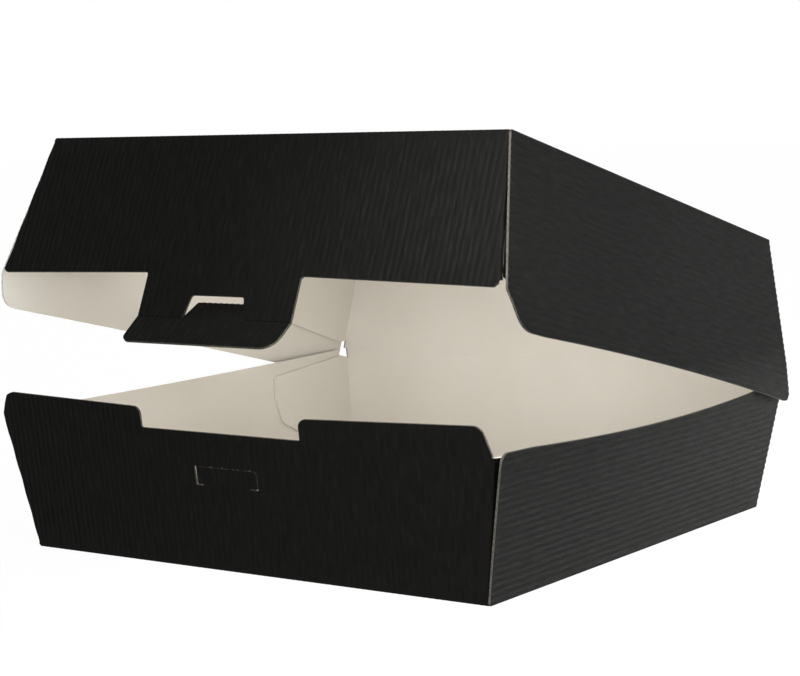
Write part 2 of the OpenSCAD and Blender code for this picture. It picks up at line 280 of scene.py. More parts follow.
class Card:
    """Gathers the faces of one folded piece of card."""

    def __init__(self):
        self.points, self.faces, self.kinds, self.maps = [], [], [], []

    def add(self, points, faces, kind, blank):
        first = sum(len(p) for p in self.points)
        self.points.append(points)
        for face in faces:
            self.faces.append(tuple(int(i) + first for i in face))
            self.kinds.append(kind)
            self.maps.append([blank[int(i)] for i in face])

    def sheet(self, loops, lines, place, blank, seam=None, flip=False, crush=None, edge=EDGE):
        """One panel. place(u, v, depth) gives points, depth running in from the outer face.

        crush(u, v) says how far the ribs are flattened, 0 to 1.
        """
        pts, tri, rim = triangulate(loops, lines)
        u, v = pts[:, 0], pts[:, 1]
        across, along = blank(u, v)
        ribs = RIB_DEPTH * (0.5 - 0.5 * np.cos(2 * np.pi * across / PITCH))
        if crush is not None:
            ribs = ribs * (1 - crush(u, v))
        turn = (lambda f: [t[::-1] for t in f]) if flip else (lambda f: f)
        self.add(place(u, v, ribs), turn(tri), OUTSIDE, np.stack([across, along], 1))
        ipts, itri, back = inner_triangles(pts, rim)
        iu, iv = ipts[:, 0], ipts[:, 1]
        iacross, ialong = blank(iu, iv)
        full = np.full(len(ipts), BOARD)
        inner = place(iu, iv, full)
        turn_in = (lambda f: f) if flip else (lambda f: [t[::-1] for t in f])
        self.add(inner, turn_in(itri), INSIDE, np.stack([iacross, ialong], 1))
        outer = place(u, v, ribs)
        walls, where, marks = [], [], []
        for a, b in rim:
            if seam is not None and seam(pts[a]) and seam(pts[b]):
                continue
            k = len(where)
            where += [outer[b], outer[a], inner[back[a]], inner[back[b]]]
            quad = (k, k + 1, k + 2, k + 3)
            walls.append(quad[::-1] if flip else quad)
            marks += [(across[b], 0), (across[a], 0), (across[a], BOARD), (across[b], BOARD)]
        if where:
            self.add(np.array(where), walls, edge, np.array(marks))

    def build(self, name, matrix, materials):
        """One mesh object, in metres, with its panels' seams joined."""
        points = np.concatenate(self.points) * MM
        mesh = bpy.data.meshes.new(name)
        mesh.from_pydata([tuple(p) for p in points], [], self.faces)
        mesh.polygons.foreach_set("material_index", np.array(self.kinds, np.int32))
        layer = mesh.uv_layers.new(name="blank")
        flat = np.array([c for m in self.maps for c in m]) / MAP_MM
        layer.data.foreach_set("uv", flat.astype(np.float32).ravel())
        mesh.transform(matrix)
        for material in materials:
            mesh.materials.append(material)
        join_points(mesh)
        mesh.shade_smooth()
        mesh.set_sharp_from_angle(angle=math.radians(SHARP))
        piece = bpy.data.objects.new(name, mesh)
        bpy.context.scene.collection.objects.link(piece)
        return piece


def join_points(mesh):
    """Welds the points where panels meet."""
    work = bmesh.new()
    work.from_mesh(mesh)
    bmesh.ops.remove_doubles(work, verts=work.verts, dist=WELD)
    bmesh.ops.recalc_face_normals(work, faces=work.faces)
    work.to_mesh(mesh)
    work.free()


# How a panel folds

def fold_reach(lean):
    """Where a wall's flat part starts, up from the sharp corner of its fold."""
    return FOLD_R * tan((90 - lean) / 2)


def fold_length(lean):
    """Length of a wall's fold along its outer face."""
    return FOLD_R * math.radians(90 - lean)


def bend(v, depth, lean):
    """(height up the wall, depth) of a point at v, measured from the end of the fold's arc."""
    start = fold_reach(lean)
    angle = np.clip(-v / FOLD_R, 0, math.radians(90 - lean))
    ridge = RIDGE * np.sin(np.pi * angle / math.radians(90 - lean)) ** 4 * (1 - depth / BOARD)
    r = FOLD_R - depth + ridge
    up = np.where(v < 0, start - r * np.sin(angle), start + v)
    inward = np.where(v < 0, FOLD_R - r * np.cos(angle), depth)
    return up, inward


def crushed(v):
    """How far the ribs are flattened near a bottom fold, v measured from the end of its arc."""
    return CRUSH * np.clip((CRUSH_REACH - v) / CRUSH_REACH, 0, 1)


def curl(u, inward, starts):
    """Turns a panel's end beyond |u| = starts round a corner of radius CORNER_R."""
    over = np.maximum(np.abs(u) - starts, 0)
    angle = np.minimum(over / CORNER_R, CURL)
    rest = np.maximum(over - CORNER_R * CURL, 0)
    r = CORNER_R - inward
    turned_u = starts + r * np.sin(angle) + rest * math.cos(CURL)
    turned_in = CORNER_R - r * np.cos(angle) + rest * math.sin(CURL)
    past = over > 0
    return (np.where(past, np.sign(u) * turned_u, u), np.where(past, turned_in, inward))


def stand(half, lean, turn, mirror=(1, 1)):
    """Matrix of a wall that rises from its bottom fold: u along, v up the slope, w outwards."""
    wall = Matrix.Rotation(math.radians(90 + lean), 4, "X")
    wall = Matrix.Translation((0, -half, 0)) @ wall
    wall = Matrix.Rotation(math.radians(turn), 4, "Z") @ wall
    return Matrix.Diagonal((mirror[0], mirror[1], 1, 1)) @ wall


def apply(matrix, u, v, inward):
    """Points at u, v and inward from the outer face, put in place by the matrix."""
    pts = np.stack([u, v, -inward, np.ones_like(u)], 1)
    return (pts @ np.array(matrix).T)[:, :3]


# Lines that the meshes follow

def steps(low, high, step):
    """The multiples of step from low to high."""
    return np.arange(math.ceil(low / step), math.floor(high / step) + 1) * step


def rows(low, high):
    """Heights for the points along a rib line: the fold's arc finely, the rest coarsely."""
    fine = np.arange(low, 0, ARC_STEP) if low < 0 else []
    return sorted({round(float(x), 6) for x in [*fine, *steps(max(low, 0), high, ROW_STEP), low, high]})


def upright_lines(left, right, low, high, within):
    """Rib lines that run up an end panel, where within(u, v) holds."""
    lines = []
    for u in steps(left, right, RIB_STEP):
        line = [(u, v) for v in rows(low, high) if within(u, v)]
        if len(line) > 1:
            lines.append(line)
    return lines


def level_lines(low, high, left, right):
    """Rib lines along a side wall, and closer ones in its fold's arc."""
    heights = [*np.arange(low + ARC_STEP, 0, ARC_STEP), *steps(0, high, RIB_STEP)]
    return [[(u, v) for u in [left - 2, *steps(left, right, ROW_STEP), right + 2]] for v in heights]


# Panels shared by the tray and the lid

def bottom_panel(card, half_w, front, back, side_lean, end_lean):
    """The level panel, up to where the folds' arcs begin."""
    x = half_w - fold_reach(side_lean)
    y0, y1 = -front + fold_reach(end_lean), back - fold_reach(end_lean)
    side = list(steps(y0, y1, ROW_STEP))
    loop = ([(-x, y0)] + [(u, y0) for u in steps(-x, x, RIB_STEP)] + [(x, y0)]
            + [(x, v) for v in side] + [(x, y1)]
            + [(u, y1) for u in steps(-x, x, RIB_STEP)[::-1]] + [(-x, y1)]
            + [(-x, v) for v in side[::-1]])
    lines = [[(u, y0 + 0.01), *[(u, v) for v in side if y0 + 1 < v < y1 - 1], (u, y1 - 0.01)]
             for u in steps(-x + 0.1, x - 0.1, RIB_STEP)]

    def place(u, v, depth):
        return np.stack([u, v, depth], 1)

    card.sheet([loop], lines, place, lambda u, v: (u, v), seam=lambda p: True, flip=True)


def end_panel(card, outline, holes, half_d, lean, ends, mirror, start_y, seam_half, hinge_v=None):
    """A front or back wall. outline gives heights from the sharp fold line.

    ends are the half widths at its left and right corner folds, as functions of the height.
    hinge_v is where it meets the hinge.
    """
    reach, arc = fold_reach(lean), fold_length(lean)
    matrix = stand(half_d, lean, 0, mirror)

    def starts(u, v):
        up = np.maximum(v, 0)
        half = np.where(np.asarray(u) < 0, ends[0](up), ends[1](up))
        return half - CORNER_R * np.clip(np.asarray(v) / NECK_V, 0, 1)

    def place(u, v, depth):
        up, inward = bend(v, depth, lean)
        if hinge_v is not None:
            up = up - depth * tan(BEVEL) * np.clip((up - (hinge_v - 2)) / 2, 0, 1)
        turned_u, turned_in = curl(u, inward, starts(u, up))
        return apply(matrix, np.where(v < 0, u, turned_u), up, np.where(v < 0, inward, turned_in))

    def flat(loop):
        return [(u, v - reach) for u, v in loop]

    def within(u, v):
        return abs(u) < float(starts(u, max(v + reach, 0))) - 0.15

    loops = [flat(outline)] + [flat(h) for h in holes]
    low_u, high_u = min(u for u, v in outline), max(u for u, v in outline)
    high = max(v for u, v in outline)
    lines = upright_lines(low_u, high_u, -arc, high - reach, within)
    turns = np.arange(0, CORNER_R * 1.5, ARC_STEP)
    heights = np.arange(3 - reach, high - reach, 2.5)
    lines += [[(side * (float(starts(side, v + reach)) + a), v) for v in heights]
              for side in (-1, 1) for a in turns]

    def seam(p):
        return abs(p[1] + arc) < 1e-4 and abs(p[0]) <= seam_half + 1e-3

    def blank(u, v):
        return u, start_y + v

    def crush(u, v):
        if hinge_v is None:
            return crushed(v)
        return np.maximum(crushed(v), crushed(hinge_v - reach - v))

    card.sheet(loops, lines, place, blank, seam=seam, crush=crush, flip=mirror[0] * mirror[1] < 0)


def side_panel(card, outline, half_w, lean, mirror, seam_front, seam_back, shape=None):
    """A right or left wall; u runs towards the back. The left walls' edges show their inner liner."""
    reach, arc = fold_reach(lean), fold_length(lean)
    matrix = stand(half_w, lean, 90, mirror)
    start = half_w - reach + arc

    def place(u, v, depth):
        up, inward = bend(v, depth, lean)
        if shape is not None:
            inward = inward - shape(u, up)
        return apply(matrix, u, up, inward)

    loop = [(u, v - reach) for u, v in outline]
    us, vs = [p[0] for p in loop], [p[1] for p in loop]
    lines = level_lines(-arc, max(vs), min(us), max(us))

    def seam(p):
        return abs(p[1] + arc) < 1e-4 and -seam_front - 1e-3 <= p[0] <= seam_back + 1e-3

    def blank(u, v):
        return start + v, u

    card.sheet([loop], lines, place, blank, seam=seam, crush=lambda u, v: crushed(v),
               flip=mirror[0] * mirror[1] < 0, edge=EDGE if mirror[0] > 0 else INSIDE)


def glue_flap(card, half, half_w, lean, end, top_v, mirror, front, gap=None, shape=None, relief=RELIEF_DROP):
    """A flap inside a side wall. gap(v) is how far its fold stands off the wall's own plane."""
    # How far it lies behind the end wall and off the side wall, and how long its fold takes to lie flat
    behind, slack, flat_after = 0.25, 0.02, 9
    low = side_u(half, lean, end, FLAP_START) - behind
    top = side_u(half, lean, end, top_v - relief) - behind
    tip = half - FLAP_LEN
    tip_low = FLAP_START + (FLAP_LEN - 1.5) * tan(FLAP_SLOPE)
    tip_top = top_v - FLAP_DROP - FLAP_TAPER
    outline = rounded([
        (low - 0.8, FLAP_START), (top - 0.8, top_v - relief - 0.2),
        (top - RELIEF_LEN, top_v - min(FLAP_DROP, relief + 0.4)), (tip + 1.3, tip_top, FLAP_TOP_R),
        (tip, (tip_low + tip_top) / 2), (tip + 1.5, tip_low, FLAP_LOW_R)])
    hand = -1 if front else 1
    matrix = stand(half_w, lean, 90, mirror) @ Matrix.Diagonal((hand, 1, 1, 1))

    def place(u, v, depth):
        near = np.clip(1 - (low - u) / flat_after, 0, 1)
        off = BOARD + slack
        if gap is not None:
            off = off + gap(v) * near
        if shape is not None:
            off = off - shape(hand * u, v) * (1 - near)
        return apply(matrix, u, v, depth + off)

    def blank(u, v):
        return u + 300, v + 300

    lines = [[(u, v) for v in np.arange(FLAP_START - 1, top_v, 2)] for u in np.arange(tip + 2, low, 2)]
    card.sheet([outline], lines, place, blank, flip=mirror[0] * mirror[1] * hand < 0, edge=INSIDE)


def end_outline(half_w, lean, side_lean, ends, low, high, above, necks=(0.7, 0.7)):
    """An end wall's outline: seam, corner necks between the heights low and high, and what is above them.

    necks are how far its left and right ends reach on past the turn of the corner.
    """
    seam_half = half_w - fold_reach(side_lean)
    seam_v = fold_reach(lean) - fold_length(lean)
    bottom = [(u, seam_v) for u in [-seam_half, *steps(-seam_half, seam_half, RIB_STEP), seam_half]]

    def edge(side):
        at = ends[0] if side < 0 else ends[1]
        neck = CORNER_R * (CURL - 1) + necks[0 if side < 0 else 1]
        return [(side * u, v) for u, v in (
            (at(0.6) - 0.25, 0.6), (at(low), low), (at(low + 1) + neck, low + 1),
            (at(high - 0.2) + neck, high - 0.2), (at(high), high))]

    return bottom + edge(1) + above + edge(-1)[::-1], seam_half


def base_shape(side):
    """How far a base side wall stands out of its plane: swollen in the middle, flared at the front.

    u runs from about -80 at the front to 80 at the back, and v from 0 to about 40 at the rim.
    """
    def shape(u, v):
        along = np.clip(1 - (np.asarray(u) / 80) ** 2, 0, 1)
        up = np.clip(np.asarray(v) / 40, 0, 1) ** 1.5
        if side > 0:
            front = np.clip((-20 - np.asarray(u)) / 60, 0, 1)
            return (RIGHT_SWELL * along + RIGHT_FLARE * front ** 2) * up
        front = np.clip((10 - np.asarray(u)) / 90, 0, 1)
        return (LEFT_SWELL * along + LEFT_FLARE * front ** 1.5) * up
    return shape


def lid_shape(u, v):
    """How far a lid side wall flares at the front, above its skirt."""
    front = np.clip((-35 - np.asarray(u)) / 45, 0, 1) ** 2
    up = np.clip(np.asarray(v) / 40, 0, 1) ** 1.5 * np.clip((49 - np.asarray(v)) / 6, 0, 1)
    return LID_FLARE * front * up


def catch_slit():
    """The two cuts that free the catch flap: its left side, and its top and right side."""
    top = (CREASE_Z - SLIT_BELOW) / cos(END_LEAN)
    low = top - CATCH_H
    half = TONGUE_W / 2 + SLIT_CLEAR
    # Set to the photograph: how far its sides are moved to the left, and how much shorter its feet are
    left_shift, right_shift, shorter = 0.3, 0.6, 0.4
    x0, x1 = LOCK_X - half - left_shift, LOCK_X + half - right_shift
    foot = CATCH_FOOT - shorter
    # Half widths of the left cut, of the top cut and of both feet
    wide, fine, feet = 0.44, 0.11, 0.15
    left = [(x0 - wide, top + 0.15), (x0 + wide, top + 0.1), (x0 + wide - 0.1, low + 0.7),
            (x0 + wide + 0.3, low + feet), (x0 + foot, low + feet), (x0 + foot, low - feet),
            (x0 - wide + 0.35, low - feet), (x0 - wide + 0.1, low + 0.3)]
    spots = np.linspace(x0 + 1.3, x1 - 0.9, 41)
    upper = [(x, top + fine * (1 + 0.6 * math.sin(2.4 * x) * math.sin(0.9 * x))) for x in spots]
    right = upper + [
        (x1 - 0.2, top - 0.15), (x1 + 0.15, top - 0.9), (x1 + 0.15, low - feet), (x1 - foot, low - feet),
        (x1 - foot, low + feet), (x1 - 0.2, low + feet), (x1 - 0.2, top - 1), (x1 - 0.6, top - 0.35),
        (spots[-1], top - fine), (spots[0], top - fine)]
    return [left, right]


def tray():
    """The base: its bottom, four walls and four glue flaps."""
    card = Card()
    half_w, half_d = BASE_W / 2, BASE_D / 2
    bottom_panel(card, half_w, half_d, half_d, SIDE_LEAN, END_LEAN)

    def at(v):
        return fold_u(half_w, END_LEAN, SIDE_LEAN, v, BASE_END_V)

    def plain(v):
        return fold_u(half_w, END_LEAN, SIDE_LEAN, v, BASE_END_V, 0)

    def spread(v):
        """Half width at the left end, where the front wall follows the swell of the left wall."""
        return half_w + 0.05 + v * cos(END_LEAN) * tan(SIDE_LEAN) + 1.1 * (v / 38) ** 1.2

    fold_v = BASE_END_V - SIDE_FRONT_DROP - 1.5
    inner_v = BASE_END_V + EAR_RISE
    outer_v = inner_v + EAR_SLOPE
    foot = at(fold_v) - 0.6
    recess_v = BASE_END_V - RECESS_DROP
    left, right = (LOCK_X + RECESS_SHIFT + s * (EXT_W / 2 + RECESS_CLEAR) for s in (-1, 1))
    crown = rounded([
        (foot, fold_v, EAR_FOOT_R), (foot - 2.7, outer_v, EAR_R), (right, inner_v, EAR_INNER_R),
        (right, recess_v, RECESS_R), (left, recess_v, RECESS_R), (left, inner_v, EAR_INNER_R),
        (2.6 - spread(fold_v), outer_v - 0.4, EAR_LEFT_R), (-spread(fold_v), fold_v)])
    outline, seam_half = end_outline(
        half_w, END_LEAN, SIDE_LEAN, (spread, at), NECK_V, fold_v, crown, (0.2, 0.7))
    start_y = half_d - fold_reach(END_LEAN) + fold_length(END_LEAN)
    end_panel(card, outline, catch_slit(), half_d, END_LEAN, (spread, at), (1, 1), start_y, seam_half)
    top_v = BASE_END_V - CREASE_END
    neck_top = BASE_END_V - RELIEF_DROP - 0.2
    crown = [(plain(top_v), top_v), (-plain(top_v), top_v)]
    outline, _ = end_outline(half_w, END_LEAN, SIDE_LEAN, (plain, plain), NECK_V, neck_top, crown)
    end_panel(card, outline, [], half_d, END_LEAN, (plain, plain), (1, -1), start_y, seam_half, BASE_END_V)
    # Each side wall: the hollow of its rim, how low its back end lies, how far its front edge is set back
    walls = ((1, RIGHT_DIP, RIGHT_BACK_DROP, 0), (-1, LEFT_DIP, LEFT_BACK_DROP, 1))
    for hand, dip, back_drop, inset in walls:
        front_v, back_v = BASE_SIDE_V - SIDE_FRONT_DROP, BASE_SIDE_V - back_drop
        notch_v = BASE_SIDE_V - RELIEF_DROP
        front_u = side_u(half_d, SIDE_LEAN, END_LEAN, front_v)
        back_u = side_u(half_d, SIDE_LEAN, END_LEAN, notch_v)
        flat_end = (SIDE_FLAT - front_u, front_v - 0.3)
        notch_u = back_u - RELIEF_LEN
        low_v = fold_reach(SIDE_LEAN) - fold_length(SIDE_LEAN)
        seam_at = half_d - fold_reach(END_LEAN)
        corners = rounded([
            (half_d, low_v), (half_d, 0.2), (back_u, notch_v, RELIEF_END_R), (notch_u, notch_v, RELIEF_R),
            (notch_u, back_v, RELIEF_TOP_R), *bow((notch_u, back_v), flat_end, dip), flat_end,
            (inset - front_u, front_v, SIDE_CORNER_R), (inset - half_d, 0.2),
            (-min(half_d - inset, seam_at), low_v)])
        seam_line = [(u, low_v) for u in [-seam_at, *steps(-seam_at, seam_at, ROW_STEP), seam_at]]
        side_panel(card, without_repeats(corners + seam_line), half_w, SIDE_LEAN, (hand, 1), seam_at, seam_at,
                   shape=base_shape(hand))
        for front in (True, False):
            top = BASE_SIDE_V - (SIDE_FRONT_DROP if front else 0)
            gap = (lambda v: WEDGE * v / BASE_END_V) if front and hand > 0 else None
            glue_flap(card, half_d, half_w, SIDE_LEAN, END_LEAN, top, (hand, 1), front, gap,
                      base_shape(hand), FLAP_FRONT_DROP if front else RELIEF_DROP)
    return card


def hung():
    """Matrix from the lid drawn as a tray to its place at rest."""
    hinge = Matrix.Translation((0, HINGE_Y, HINGE_H))
    turn = Matrix.Rotation(math.radians(-OPEN_ANGLE), 4, "X")
    shut = Matrix.Translation((0, 0, LID_TOP_Z)) @ Matrix.Diagonal((1, 1, -1, 1))
    return hinge @ turn @ hinge.inverted() @ shut


def lid():
    """The lid, drawn as a tray that stands on its top."""
    card = Card()
    bottom_panel(card, LID_HALF_W, LID_FRONT, LID_BACK, LID_SIDE_LEAN, LID_END_LEAN)
    full = LID_END_V

    def at(v):
        return fold_u(LID_HALF_W, LID_END_LEAN, LID_SIDE_LEAN, v, full, LID_WEDGES[1])

    def plain(v):
        return fold_u(LID_HALF_W, LID_END_LEAN, LID_SIDE_LEAN, v, full, 0)

    def near(v):
        return fold_u(LID_HALF_W, LID_END_LEAN, LID_SIDE_LEAN, v, full, LID_WEDGES[-1])

    end_v = full + 0.4
    root_v = end_v - 1.2
    leg_v = CREASE_V - CREASE_END
    e0, e1 = LOCK_X - EXT_W / 2, LOCK_X + EXT_W / 2
    window_v = CREASE_V - TONGUE_H - TONGUE_KERF
    tip, root = TONGUE_TIP_W / 2 + TONGUE_KERF, TONGUE_W / 2 + TONGUE_KERF
    crown = rounded([
        (at(end_v) - 0.4, end_v - 1.4), (at(end_v) - 1.9, end_v, LID_CORNER_R), (e1, root_v, ROOT_R),
        (e1, leg_v),
        (LOCK_X + root, leg_v), (LOCK_X + tip, window_v, WINDOW_R), (LOCK_X - tip, window_v, WINDOW_R),
        (LOCK_X - root, leg_v), (e0, leg_v), (e0, root_v, ROOT_R),
        (1.4 - near(end_v), end_v, LID_CORNER_R), (-near(end_v), end_v - 1.4)])
    outline, seam_half = end_outline(
        LID_HALF_W, LID_END_LEAN, LID_SIDE_LEAN, (near, at), NECK_V, end_v - 1.8, crown)
    start_y = LID_FRONT - fold_reach(LID_END_LEAN) + fold_length(LID_END_LEAN)
    end_panel(card, outline, [], LID_FRONT, LID_END_LEAN, (near, at), (1, 1), start_y, seam_half)
    top_v = full - CREASE_END
    neck_top = full + 0.6 - RELIEF_DROP - 0.2
    crown = [(plain(top_v), top_v), (-plain(top_v), top_v)]
    outline, _ = end_outline(LID_HALF_W, LID_END_LEAN, LID_SIDE_LEAN, (plain, plain), NECK_V, neck_top, crown)
    end_panel(card, outline, [], LID_BACK, LID_END_LEAN, (plain, plain), (1, -1), start_y, seam_half, full)
    # Each side wall: the hollow of its rim, how far its front edge is set back, where its skirt is cut at the
    # front, how much higher it ends at the back, and how far its back edge is drawn in at the hinge
    walls = ((1, LID_RIGHT_DIP, 0, 7.4, 1, 0), (-1, LID_LEFT_DIP, 1.2, 4.2, 0, 1.3))
    for hand, dip, inset, cut, rise, pull in walls:
        rim_v = LID_SIDE_V
        low = rim_v + SKIRT
        front_low = side_u(LID_FRONT, LID_SIDE_LEAN, LID_END_LEAN, rim_v)
        back_low = side_u(LID_BACK, LID_SIDE_LEAN, LID_END_LEAN, rim_v) - LOBE_INSET
        cut_v, cut_u = low - SKIRT_CUT_V, cut - front_low
        flat_from, flat_to = (cut_u + SKIRT_FLAT, low), (back_low - LOBE_LEN, low - rise)
        start = fold_reach(LID_SIDE_LEAN) - fold_length(LID_SIDE_LEAN)
        seam_front = LID_FRONT - fold_reach(LID_END_LEAN)
        seam_back = LID_BACK - fold_reach(LID_END_LEAN)
        corners = rounded([
            (LID_BACK, start), (LID_BACK, 0.2),
            (back_low - pull, rim_v - 2 - pull / 2, LID_BACK_R - 2 * pull),
            (back_low + 0.2, low + LOBE_DROP - rise, LOBE_R),
            flat_to, *bow(flat_to, flat_from, dip), flat_from,
            (cut_u, low, SKIRT_R), (inset - front_low, cut_v, ROOT_R),
            (inset - LID_FRONT, 0.2), (-min(LID_FRONT - inset, seam_front), start)])
        seam_line = [(u, start) for u in [-seam_front, *steps(-seam_front, seam_back, ROW_STEP), seam_back]]
        side_panel(card, without_repeats(corners + seam_line), LID_HALF_W, LID_SIDE_LEAN, (hand, 1),
                   seam_front, seam_back, shape=lid_shape)
        for front, half in ((True, LID_FRONT), (False, LID_BACK)):
            wedge = LID_WEDGES[hand] if front else 0
            gap = (lambda v, wedge=wedge: wedge * v / full)
            glue_flap(card, half, LID_HALF_W, LID_SIDE_LEAN, LID_END_LEAN, LID_SIDE_V + 0.6, (hand, 1),
                      front, gap)
    return card


def lock_tab():
    """The strip below the crease and the tongue above it, in the plane that is bent out."""
    card = Card()
    half, root, tip = EXT_W / 2, TONGUE_W / 2, TONGUE_TIP_W / 2
    outline = rounded([
        (half, CREASE_END), (half - 0.4, STRIP_H, STRIP_RIGHT_R), (0.4 - half, STRIP_H, STRIP_LEFT_R),
        (-half, CREASE_END), (-root, CREASE_END), (-tip, -TONGUE_H, TONGUE_R), (tip, -TONGUE_H, TONGUE_R),
        (root, CREASE_END)])
    matrix = (stand(LID_FRONT, LID_END_LEAN, 0) @ Matrix.Translation((LOCK_X, CREASE_V, 0))
              @ Matrix.Rotation(math.radians(TAB_ANGLE), 4, "X"))
    lines = [[(u - LOCK_X, v) for v in np.arange(-TONGUE_H - 1, STRIP_H + 2, 1.5)]
             for u in steps(LOCK_X - half, LOCK_X + half, RIB_STEP)]

    def place(u, v, depth):
        return apply(matrix, u, v, depth)

    def blank(u, v):
        return u + LOCK_X, LID_FRONT + CREASE_V + v

    card.sheet([outline], lines, place, blank)
    return card


def crease_strip(name, spans, first, last, radius, matrix, materials):
    """The inner side of a crease: a wedge of card round the x axis of matrix.

    first and last are its ends' angles round that axis.
    """
    card = Card()
    turns = np.radians(np.linspace(first, last, 13))
    ring = [(0.0, 0.0)] + [(radius * math.cos(a), radius * math.sin(a)) for a in turns]
    n = len(ring)
    for x0, x1 in spans:
        xs = np.linspace(x0, x1, 25)
        pts = np.array([(x, y, z, 1) for x in xs for y, z in ring])
        blank = np.stack([pts[:, 0], pts[:, 2]], 1)
        pts = (pts @ np.array(matrix).T)[:, :3]
        skin, sides = [], []
        for i in range(len(xs) - 1):
            a, b = i * n, (i + 1) * n
            skin += [(a + k, a + k + 1, b + k + 1, b + k) for k in range(1, n - 1)]
            sides += [(a, a + 1, b + 1, b), (a + n - 1, a, b, b + n - 1)]
        ends = [(i, i + k, i + k + 1) for i in (0, (len(xs) - 1) * n) for k in range(1, n - 1)]
        card.add(pts, skin, INSIDE, blank)
        card.add(pts, sides + ends, OUTSIDE, blank)
    return card.build(name, Matrix.Identity(4), materials)


def creases(materials):
    """The hinge between tray and lid, and the two short creases beside the tongue."""
    hinge = Matrix.Translation((0, HINGE_Y, HINGE_H))
    # Both strips stay a hair inside the card, so that no two faces share a plane
    radius = BOARD / cos(BEVEL) - 0.008
    low = 180 - END_LEAN + BEVEL + HINGE_OVERLAP
    high = 180 + LID_END_LEAN - OPEN_ANGLE - BEVEL - HINGE_OVERLAP
    half = fold_u(BASE_W / 2, END_LEAN, SIDE_LEAN, BASE_END_V, BASE_END_V, 0) - 0.1
    strip = crease_strip("hinge_crease", [(-half, half)], high, low, radius, hinge, materials)
    ends = [(0, HINGE_Y + radius * cos(a), HINGE_H + radius * sin(a)) for a in (low, high)]
    [tuple(Vector(p) * MM) for p in ends]
    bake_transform(strip)
    local = hung() @ stand(LID_FRONT, LID_END_LEAN, 0) @ Matrix.Translation((LOCK_X, CREASE_V, 0))
    inner, outer = TONGUE_W / 2 + TONGUE_KERF + 0.05, EXT_W / 2 - 0.05
    radius = BOARD - 0.01
    strip = crease_strip("lock_crease", [(-outer, -inner), (inner, outer)], -90, TAB_ANGLE - 90, radius,
                         local, materials)
    ends = [local @ Vector((0, radius * cos(a), radius * sin(a))) for a in (-90, TAB_ANGLE - 90)]
    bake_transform(strip)


# Materials

def new_material(name):
    material = bpy.data.materials.new(name)
    material.use_nodes = True
    nodes, links = material.node_tree.nodes, material.node_tree.links
    return material, nodes, links, nodes["Principled BSDF"]


def blank_noise(nodes, links, across, along, detail=3.0, rough=0.55, offset=0.0):
    """Noise on the flat blank, stretched: across and along are cells per 100 mm."""
    uv = nodes.new("ShaderNodeUVMap")
    uv.uv_map = "blank"
    stretch = nodes.new("ShaderNodeMapping")
    stretch.inputs["Scale"].default_value = (across, along, 1)
    stretch.inputs["Location"].default_value = (offset, offset, 0)
    noise = nodes.new("ShaderNodeTexNoise")
    noise.inputs["Scale"].default_value = 1
    noise.inputs["Detail"].default_value = detail
    noise.inputs["Roughness"].default_value = rough
    links.new(uv.outputs["UV"], stretch.inputs["Vector"])
    links.new(stretch.outputs["Vector"], noise.inputs["Vector"])
    return noise.outputs["Fac"]


def ramp(nodes, links, fac, stops):
    node = nodes.new("ShaderNodeValToRGB")
    elements = node.color_ramp.elements
    while len(elements) < len(stops):
        elements.new(0.5)
    for element, (at, colour) in zip(elements, stops):
        element.position = at
        element.color = (*colour, 1)
    links.new(fac, node.inputs["Fac"])
    return node.outputs["Color"]


def grey(value):
    return (value, value, value)


def multiply(nodes, links, one, other):
    node = nodes.new("ShaderNodeMix")
    node.data_type = "RGBA"
    node.blend_type = "MULTIPLY"
    node.inputs["Factor"].default_value = 1
    links.new(one, node.inputs["A"])
    links.new(other, node.inputs["B"])
    return node.outputs["Result"]


def outside_card():
    """Black washboard liner: short broken streaks along the ribs, a dull sheen."""
    material, nodes, links, shader = new_material("card_outside")
    streaks = blank_noise(nodes, links, 120, 17, detail=4, rough=0.6)
    clouds = blank_noise(nodes, links, 2.5, 2.5, detail=3, offset=7)
    fibres = blank_noise(nodes, links, 420, 90, detail=2, offset=3)
    tone = ramp(nodes, links, streaks, [(0.30, (0.0024, 0.0024, 0.0021)), (0.58, (0.0042, 0.0041, 0.0036)),
                                        (0.78, (0.0085, 0.0083, 0.0075))])
    cloud = ramp(nodes, links, clouds, [(0.3, grey(0.85)), (0.7, grey(1.0))])
    links.new(multiply(nodes, links, tone, cloud), shader.inputs["Base Color"])
    gloss = ramp(nodes, links, streaks, [(0.3, grey(0.66)), (0.7, grey(0.50))])
    links.new(gloss, shader.inputs["Roughness"])
    shader.inputs["Specular IOR Level"].default_value = 0.05
    height = nodes.new("ShaderNodeMath")
    height.operation = "ADD"
    links.new(streaks, height.inputs[0])
    links.new(fibres, height.inputs[1])
    bump = nodes.new("ShaderNodeBump")
    bump.inputs["Strength"].default_value = 0.6
    bump.inputs["Distance"].default_value = 0.24 * MM
    links.new(height.outputs["Value"], bump.inputs["Height"])
    links.new(bump.outputs["Normal"], shader.inputs["Normal"])
    return material


def inside_card():
    """Cream inner liner: fine fibres and a faint cloudiness."""
    material, nodes, links, shader = new_material("card_inside")
    fibres = blank_noise(nodes, links, 260, 160, detail=4)
    clouds = blank_noise(nodes, links, 3, 2, detail=3, offset=5)
    tone = ramp(nodes, links, clouds, [(0.3, (0.745, 0.712, 0.650)), (0.7, (0.785, 0.754, 0.694))])
    speck = ramp(nodes, links, fibres, [(0.3, grey(0.95)), (0.65, grey(1.0))])
    links.new(multiply(nodes, links, tone, speck), shader.inputs["Base Color"])
    shader.inputs["Roughness"].default_value = 0.75
    shader.inputs["Specular IOR Level"].default_value = 0.3
    bump = nodes.new("ShaderNodeBump")
    bump.inputs["Strength"].default_value = 0.25
    bump.inputs["Distance"].default_value = 0.05 * MM
    links.new(fibres, bump.inputs["Height"])
    links.new(bump.outputs["Normal"], shader.inputs["Normal"])
    return material


